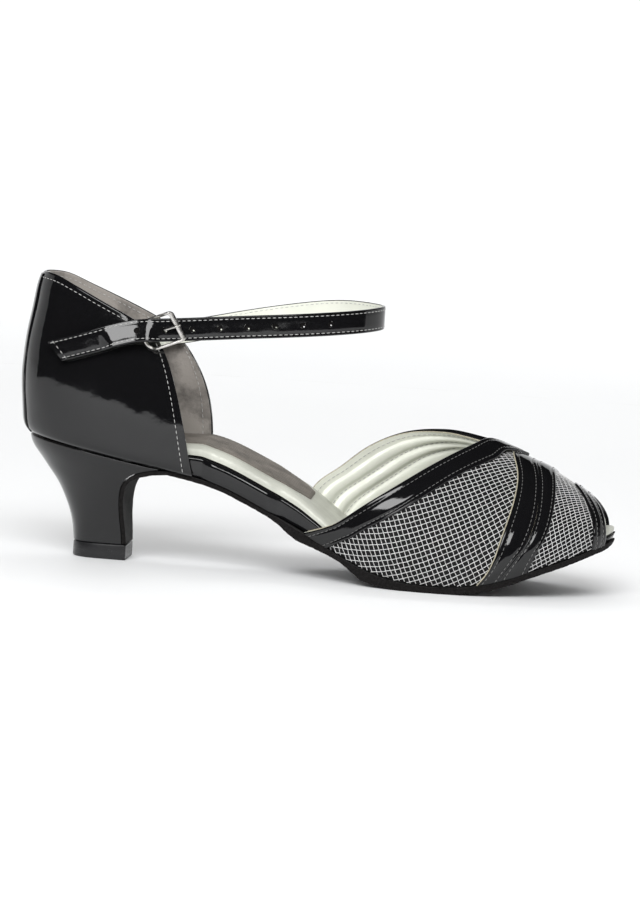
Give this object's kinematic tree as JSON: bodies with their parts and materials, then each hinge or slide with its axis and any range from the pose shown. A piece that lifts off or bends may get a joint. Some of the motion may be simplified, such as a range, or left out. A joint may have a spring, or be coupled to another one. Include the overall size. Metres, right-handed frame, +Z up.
{
  "type": "ballroom dance shoe",
  "caption": "Lady's ballroom dance shoe for the right foot: peep toe vamp in metallic mesh with patent bands, closed counter, buckled ankle strap, suede sole and flared block heel.",
  "frame": {"origin": "middle of the bounding box on the floor", "axes": "+X toward the toe, +Y toward the inner side of the foot, +Z up"},
  "size_m": [0.2418, 0.0774, 0.1135],
  "materials": {
    "patent_leather": "black patent, glossy",
    "board_wrap": "black patent, glossy",
    "heel_wrap": "black patent, glossy",
    "suede_sole": "black suede, napped",
    "black_plastic": "black, satin",
    "silver_leather": "silver kid, satin",
    "heel_textile": "taupe textile",
    "mesh_fabric": "black ground with a silver thread grid",
    "buckle_metal": "polished nickel"
  },
  "bodies": {
    "root": {"outsole": "suede_sole", "top_lift": "black_plastic", "heel": "heel_wrap", "insole_board": "board_wrap", "sock": "silver_leather", "heel_pad": "heel_textile", "counter": "patent_leather", "back_strip": "patent_leather", "vamp": "mesh_fabric", "throat_band_lateral": "patent_leather", "throat_band_medial": "patent_leather", "cross_band_back": "patent_leather", "cross_band_front": "patent_leather", "toe_binding": "patent_leather", "ankle_strap": "patent_leather", "buckle_tab": "patent_leather", "buckle_frame": "buckle_metal", "buckle_prong": "buckle_metal"}
  },
  "joints": []
}
